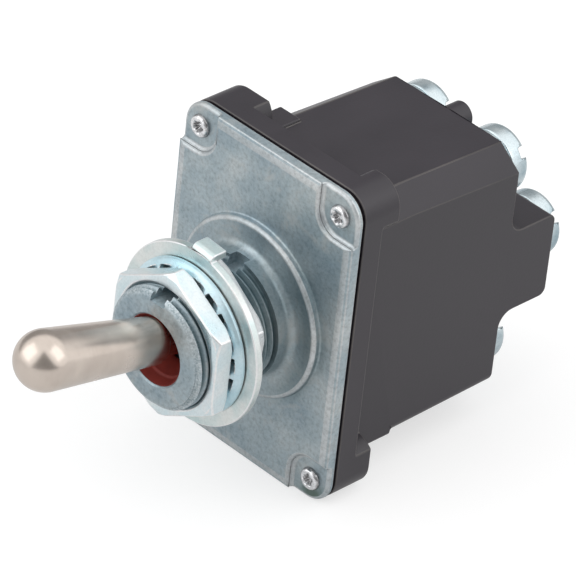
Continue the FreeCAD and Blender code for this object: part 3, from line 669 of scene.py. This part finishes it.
def sharp_edge(edge):
    """Whether an edge stays sharp: the keyway's end, the collar's front and the seat's filleted foot."""
    ends = [v.co for v in edge.verts]
    at_foot = all(Vector((co.x, co.z)).length < seat_outside and co.y > seat_foot_start for co in ends)
    return at_foot or all(co.y < collar_shown for co in ends)


def cover_plate():
    """The cover's casting without the stem, which the threaded stem takes the place of."""
    far = 20 * mm
    plate = as_object("cover_plate", merged_copy("cover_and_bushing"))
    stem_cut = as_object("stem_cut", box_between((-far, -far, -far), (far, collar_front, far)))
    cut(plate, stem_cut, "DIFFERENCE")
    low = (-keyway_half, pit_front, keyway_floor)
    high = (keyway_half, pit_back, keyway_open)
    cut(plate, ragged_bar("keyway_end_cut", low, high, pit_rough, 11), "DIFFERENCE")
    finished(plate, casting, replaced=["cover_and_bushing"], crease=45)
    return round_edges(plate, plate_rounding, 4, 45, wear_and_highlight_casting, broad_edge, 0.3, sharp_edge)


def bat_lever():
    """The turned lever, with its round tip."""
    bm = bmesh.new()
    shoulder = lever_shoulder + lever_shoulder_round
    profile = [
        (0, lever_inner_end),
        (lever_shank, lever_inner_end),
        (lever_shank, lever_taper_end),
        (lever_neck, lever_taper_start),
        (lever_neck, -lever_shoulder),
    ]
    profile += [
        (r, -y)
        for r, y in arc(lever_root - lever_shoulder_round, shoulder, lever_shoulder_round, -90, 0, 6)
    ]
    lean = math.degrees(math.asin((lever_tip - lever_root) / (lever_reach - shoulder)))
    profile += [(r, -y) for r, y in arc(0, lever_reach, lever_tip, -lean, 90, 24)]
    turn(bm, profile, closed=False)
    bmesh.ops.rotate(bm, verts=bm.verts, cent=(0, 0, 0), matrix=Matrix.Rotation(-lever_tilt, 3, "X"))
    bmesh.ops.translate(bm, verts=bm.verts, vec=pivot)
    lever = as_object("bat_lever", bm)
    return finished(lever, nickel, "lever_assembly", ["lever"], crease=40)


def mouth_seal():
    """The red rubber seal, a funnel with a bead and a lip."""
    front = -11.3 * mm
    back = -8.15 * mm
    outside = bore_radius - 0.01 * mm
    bm = bmesh.new()
    # Radius and place along the bushing: the lip, the bead, the funnel and its inner end
    outline = [
        (outside, front),
        (3.42 * mm, front),
        (3.1 * mm, front + 1.0 * mm),
        (2.86 * mm, front + 1.12 * mm),
        (2.8 * mm, front + 1.4 * mm),
        (2.2 * mm, back - 0.7 * mm),
        (2.16 * mm, back),
        (outside, back),
    ]
    turn(bm, outline, closed=True)
    seal = finished(as_object("mouth_seal", bm), red_rubber, replaced=["lever_seal"])
    return round_edges(seal, seal_rounding, 3)


def softened(name, node, finish, width, segments=2, edges=None):
    """A CAD node with its edges rounded."""
    made = finished(as_object(name, merged_copy(node)), finish, replaced=[node])
    return round_edges(made, width, segments, edges=edges)


def toothed_washer():
    """The lock washer: a rim dished towards the front nut, notched into twisted teeth round its hole."""
    low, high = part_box("tooth_lock_washer")
    outside = high.x
    back = high.y - 0.12 * mm
    front = back - 0.75 * mm
    hole = 6.05 * mm
    notch_end = 6.95 * mm
    notch_width = 0.8 * mm
    sheet = 0.45 * mm
    teeth = 20
    tooth_angle = 2 * math.pi / teeth
    twist = math.radians(35)
    twist_start = 0.4 * mm
    bm = bmesh.new()
    # Radius and place along the bushing: the rim, the dished front, the hole and the hollow behind
    outline = [
        (outside, back),
        (outside, back - 0.25 * mm),
        (outside - 0.08 * mm, back - 0.4 * mm),
        (outside - 0.3 * mm, front + 0.16 * mm),
        (notch_end + 0.05 * mm, front + 0.02 * mm),
        (notch_end - 0.3 * mm, front),
        (hole, front),
        (hole, front + sheet),
        (notch_end, front + sheet),
        (outside - 0.2 * mm, back),
    ]
    turn(bm, outline, closed=True, steps=160)
    washer = as_object("toothed_washer", bm)
    bm = bmesh.new()
    depth = notch_end - hole + 0.4 * mm
    place = Matrix.Translation((notch_end - depth / 2, front + sheet / 2, 0))
    size = Matrix.Diagonal((depth, 3 * sheet, notch_width, 1))
    for i in range(teeth):
        about = Matrix.Rotation(2 * math.pi * (i + 0.5) / teeth, 4, AXIS)
        bmesh.ops.create_cube(bm, size=1, matrix=about @ place @ size)
    cut(washer, as_object("tooth_notches", bm), "DIFFERENCE")
    for vert in washer.data.vertices:
        radius = Vector((vert.co.x, vert.co.z)).length
        if radius > notch_end + 0.02 * mm:
            continue
        angle = math.atan2(vert.co.z, vert.co.x)
        off = (angle + tooth_angle / 2) % tooth_angle - tooth_angle / 2
        share = min(1.0, (notch_end - radius) / twist_start)
        vert.co.y += radius * off * math.tan(twist) * share
    finished(washer, washer_plating, replaced=["tooth_lock_washer"])
    return round_edges(washer, tooth_rounding, edges=wear_and_highlight_plating)


def rolled_rivet(corner):
    """A tubular rivet: a domed head rolled over round an open, lobed mouth, a shank and a rolled tail."""
    low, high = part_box("rivet_" + corner)
    x = (low.x + high.x) / 2
    z = (low.z + high.z) / 2
    front, back = low.y, high.y
    head = (high.x - low.x) / 2
    seat = front + rivet_head_rise
    pole = 0.001 * mm
    mouth_floor = 0.52 * mm
    # Shares of the head's radius, and millimetres behind its front
    mouth = [(0.26, 0.46), (0.4, 0.3), (0.46, 0.12), (0.56, 0.01)]
    roll = [(0.7, 0), (0.86, 0.08), (0.96, 0.24), (1, 0.38)]
    outline = [(pole, front + mouth_floor)]
    outline += [(share * head, front + depth * mm) for share, depth in mouth + roll]
    outline += [
        (head, seat),
        (rivet_shank, seat),
        (rivet_shank, back - rivet_tail_rise),
        (rivet_tail, back - rivet_tail_rise),
        (rivet_tail, back - rivet_tail_bevel),
        (rivet_tail - rivet_tail_bevel, back),
        (pole, back),
    ]
    bm = bmesh.new()
    turn(bm, outline, closed=False, steps=60, centre=(x, 0, z))
    lobes = 5
    phase = 1.3 * CORNERS.index(corner)
    lobed_radius = 0.75 * head
    lobe_share = 0.16
    lobe_rise = 0.1 * mm
    still_share = 0.1
    for vert in bm.verts:
        out = Vector((vert.co.x - x, 0, vert.co.z - z))
        if out.length > lobed_radius or vert.co.y > seat:
            continue
        share = 1 - out.length / lobed_radius
        wave = math.cos(lobes * math.atan2(out.z, out.x) + phase)
        if out.length > still_share * head:
            vert.co += out.normalized() * lobe_share * head * wave * share
            vert.co.y += lobe_rise * wave * share
    made = as_object("rolled_rivet_" + corner, bm)
    return finished(made, rivet_plating, replaced=["rivet_" + corner], crease=50)


def flange_gasket():
    """The gasket, with the ragged edge that shows between the cover and the housing."""
    rim_x = 10 * mm
    rim_z = 15.5 * mm
    ragged = 0.2 * mm
    fine = 0.6 * mm
    coarse = 2.5 * mm
    bm = merged_copy("gasket")
    long_edges = [e for e in bm.edges if e.calc_length() > 1 * mm]
    bmesh.ops.subdivide_edges(bm, edges=long_edges, cuts=40)
    for vert in bm.verts:
        if abs(vert.co.x) > rim_x or abs(vert.co.z) > rim_z:
            wave = noise.noise(vert.co / fine) + 0.6 * noise.noise(vert.co / coarse)
            inward = min(0.0, wave) * ragged
            vert.co.x += inward * math.copysign(1, vert.co.x)
            vert.co.z += inward * math.copysign(1, vert.co.z)
    gasket = as_object("rubber_gasket", bm)
    return finished(gasket, black_rubber, replaced=["gasket"], crease=40)


def coil_spring(side):
    """A plunger's spring, which shortens between the carrier and the plunger as the plunger travels."""
    made = as_object("coil_spring_" + side, merged_copy("plunger_spring_" + side))
    made.data.materials.clear()
    made.data.materials.append(spring_steel)
    made.data.shade_smooth()
    inward = Vector((0, math.cos(lever_tilt), -math.sin(lever_tilt)))
    reach = [inward.dot(vert.co) for vert in made.data.vertices]
    middle = (Vector(made.bound_box[0]) + Vector(made.bound_box[6])) / 2
    start = middle + inward * (min(reach) - inward.dot(middle))
    end = middle + inward * (max(reach) - inward.dot(middle))
    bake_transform(made, "lever_assembly", "plunger_" + side + "_body", start=start, end=end)
    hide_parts("plunger_spring_" + side)


cover_plate()
threaded_stem()
bat_lever()
mouth_seal()
softened("front_hexagon_nut", "front_nut", front_plating, nut_rounding, 3, wear_and_highlight_plating)
softened("rear_hexagon_nut", "rear_nut", lit_rear_plating, nut_rounding, 3, wear_and_highlight_plating)
toothed_washer()
softened("tabbed_ring", "locking_ring", ring_plating, ring_rounding, 3, wear_and_highlight_plating)
softened("moulded_housing", "housing", housing_resin, housing_rounding, edges=wear_and_highlight_resin)
flange_gasket()
for corner in CORNERS:
    rolled_rivet(corner)
for side in SIDES:
    for row in ROWS:
        place = row + "_" + side
        screw = "terminal_screw_" + place
        washer = "screw_washer_" + place
        softened("slotted_screw_" + place, screw, screw_plating, screw_rounding, 3)
        softened("flat_washer_" + place, washer, screw_plating, screw_rounding, 3)

inner = {"carrier": (carrier_resin, "carrier_resin"), "pivot_pin": (pin_steel, "pin_steel")}
for side in SIDES:
    inner["plunger_" + side] = (nylon, "plunger_resin")
    inner["rocker_" + side] = (sheet_brass, "rocker_brass")
    inner["common_terminal_" + side] = (brass, "terminal_brass")
    for end in ("top", "bottom"):
        inner["end_terminal_" + end + "_" + side] = (brass, "terminal_brass")
        inner["fixed_contact_" + end + "_" + side] = (silver, "contact_silver")
        inner["moving_contact_" + end + "_" + side] = (silver, "contact_silver")
for node, (finish, slot) in inner.items():
    nodes[node].data.materials.clear()
    nodes[node].data.materials.append(finish)
for side in SIDES:
    coil_spring(side)


def light_table():
    """The pale floor under the switch, a diffuse surface that also shows pale to the camera and in metal."""
    half_size = 3
    grey = 0.45
    seen_light = 0.62
    mirrored_light = 0.33
    bm = bmesh.new()
    low = cad_box[0].z - 0.02 * mm
    place = Matrix.Translation((0, 0, low))
    bmesh.ops.create_grid(bm, x_segments=1, y_segments=1, size=half_size, matrix=place)
    floor = as_object("floor", bm)
    finish = bpy.data.materials.new("floor_white")
    finish.use_nodes = True
    tree = finish.node_tree
    tree.nodes.remove(tree.nodes["Principled BSDF"])
    diffuse = tree.nodes.new("ShaderNodeBsdfDiffuse")
    diffuse.inputs["Color"].default_value = (grey, grey, grey, 1)
    glow = tree.nodes.new("ShaderNodeEmission")
    path = tree.nodes.new("ShaderNodeLightPath")
    mirrored = tree.nodes.new("ShaderNodeMath")
    mirrored.operation = "MULTIPLY"
    tree.links.new(path.outputs["Is Glossy Ray"], mirrored.inputs[0])
    mirrored.inputs[1].default_value = mirrored_light
    seen = tree.nodes.new("ShaderNodeMath")
    seen.operation = "MULTIPLY_ADD"
    tree.links.new(path.outputs["Is Camera Ray"], seen.inputs[0])
    seen.inputs[1].default_value = seen_light
    tree.links.new(mirrored.outputs[0], seen.inputs[2])
    tree.links.new(seen.outputs[0], glow.inputs["Strength"])
    both = tree.nodes.new("ShaderNodeAddShader")
    tree.links.new(diffuse.outputs[0], both.inputs[0])
    tree.links.new(glow.outputs[0], both.inputs[1])
    tree.links.new(both.outputs[0], tree.nodes["Material Output"].inputs["Surface"])
    floor.data.materials.append(finish)


def light_tent(right, up, back):
    """A white tent, open towards the camera in a dark wedge and dim behind, as the lever's tip mirrors it."""
    wall_fade = 0.3
    skirt_start = -0.5
    skirt_end = -0.25
    wedge_outside = -0.04
    wedge_inside = 0.08
    opening_start = 0.1
    opening_end = 0.3
    world = bpy.data.worlds.new("light_tent")
    bpy.context.scene.world = world
    world.use_nodes = True
    tree = world.node_tree
    background = tree.nodes["Background"]
    where = tree.nodes.new("ShaderNodeTexCoord").outputs["Generated"]

    def along(direction):
        """How far a ray goes in a direction."""
        made = tree.nodes.new("ShaderNodeVectorMath")
        made.operation = "DOT_PRODUCT"
        tree.links.new(where, made.inputs[0])
        made.inputs[1].default_value = direction
        return made.outputs["Value"]

    def maths(operation, *values):
        """The result of a sum on numbers."""
        made = tree.nodes.new("ShaderNodeMath")
        made.operation = operation
        for socket, value in zip(made.inputs, values):
            join(tree, value, socket)
        return made.outputs[0]

    def soft_step(value, low, high):
        """A number that goes softly from 0 to 1 while the value goes from low to high."""
        made = tree.nodes.new("ShaderNodeMapRange")
        made.interpolation_type = "SMOOTHSTEP"
        tree.links.new(value, made.inputs["Value"])
        for name, number in (("From Min", low), ("From Max", high), ("To Min", 0.0), ("To Max", 1.0)):
            made.inputs[name].default_value = number
        return made.outputs[0]

    across = maths("ABSOLUTE", along(right))
    above = along(up)
    toward = along(back)
    back_wall = soft_step(toward, tent_back, tent_back + wall_fade)
    wall = maths("MULTIPLY", back_wall, soft_step(above, skirt_start, skirt_end))
    opening = maths("SUBTRACT", maths("MULTIPLY_ADD", above, -wedge_slope, wedge_slope * wedge_top), across)
    in_front = soft_step(toward, opening_start, opening_end)
    wedge = maths("MULTIPLY", soft_step(opening, wedge_outside, wedge_inside), in_front)
    lit = maths("MULTIPLY", wall, maths("SUBTRACT", 1.0, wedge))
    dim = maths("MULTIPLY_ADD", wedge, wedge_light - tent_dim, tent_dim)
    light = maths("MULTIPLY_ADD", lit, tent_bright - tent_dim, dim)
    path = tree.nodes.new("ShaderNodeLightPath")
    seen = maths("MAXIMUM", path.outputs["Is Camera Ray"], path.outputs["Is Transmission Ray"])
    strength = maths("ADD", maths("MULTIPLY", light, maths("SUBTRACT", 1.0, seen)), seen)
    background.inputs["Color"].default_value = (1, 1, 1, 1)
    tree.links.new(strength, background.inputs["Strength"])


def camera():
    """The camera at the photograph's viewing angle."""
    azimuth = 0.757389
    elevation = 0.594284
    roll = 0.104431
    distance = 0.46501
    aim = Vector((0, 2 * mm, 0))
    level = math.cos(elevation)
    back = Vector((math.sin(azimuth) * level, -math.cos(azimuth) * level, math.sin(elevation)))
    right = Vector((math.cos(azimuth), math.sin(azimuth), 0))
    up = back.cross(right)
    right_rolled = math.cos(roll) * right + math.sin(roll) * up
    up_rolled = -math.sin(roll) * right + math.cos(roll) * up
    data = bpy.data.cameras.new("photo_camera")
    data.lens = 318.4
    data.sensor_width = 36
    data.shift_x = 0.0455
    data.shift_y = 0.0217
    data.clip_start = 0.01
    data.clip_end = 10
    made = bpy.data.objects.new("photo_camera", data)
    bpy.context.scene.collection.objects.link(made)
    place = Matrix((right_rolled, up_rolled, back)).transposed().to_4x4()
    place.translation = back * distance + aim
    made.matrix_world = place
    bpy.context.scene.camera = made
    return right_rolled, up_rolled, back


def soft_box(name, shares, size, watts):
    """A large area lamp that faces the switch, in a direction given in the camera's axes."""
    distance = 0.6
    direction = right * shares[0] + up * shares[1] + back * shares[2]
    data = bpy.data.lights.new(name, "AREA")
    data.shape = "RECTANGLE"
    data.size = size[0]
    data.size_y = size[1]
    data.energy = watts
    made = bpy.data.objects.new(name, data)
    bpy.context.scene.collection.objects.link(made)
    made.location = direction.normalized() * distance
    made.rotation_euler = direction.to_track_quat("Z", "Y").to_euler()


bpy.context.scene.view_settings.view_transform = "Standard"
right, up, back = camera()
light_table()
light_tent(right, up, back)
soft_box("left_box", (-0.77, 0.43, 0.47), (0.5, 0.5), 0.5)
soft_box("right_box", (0.71, 0.39, 0.58), (0.4, 0.5), 0.4)
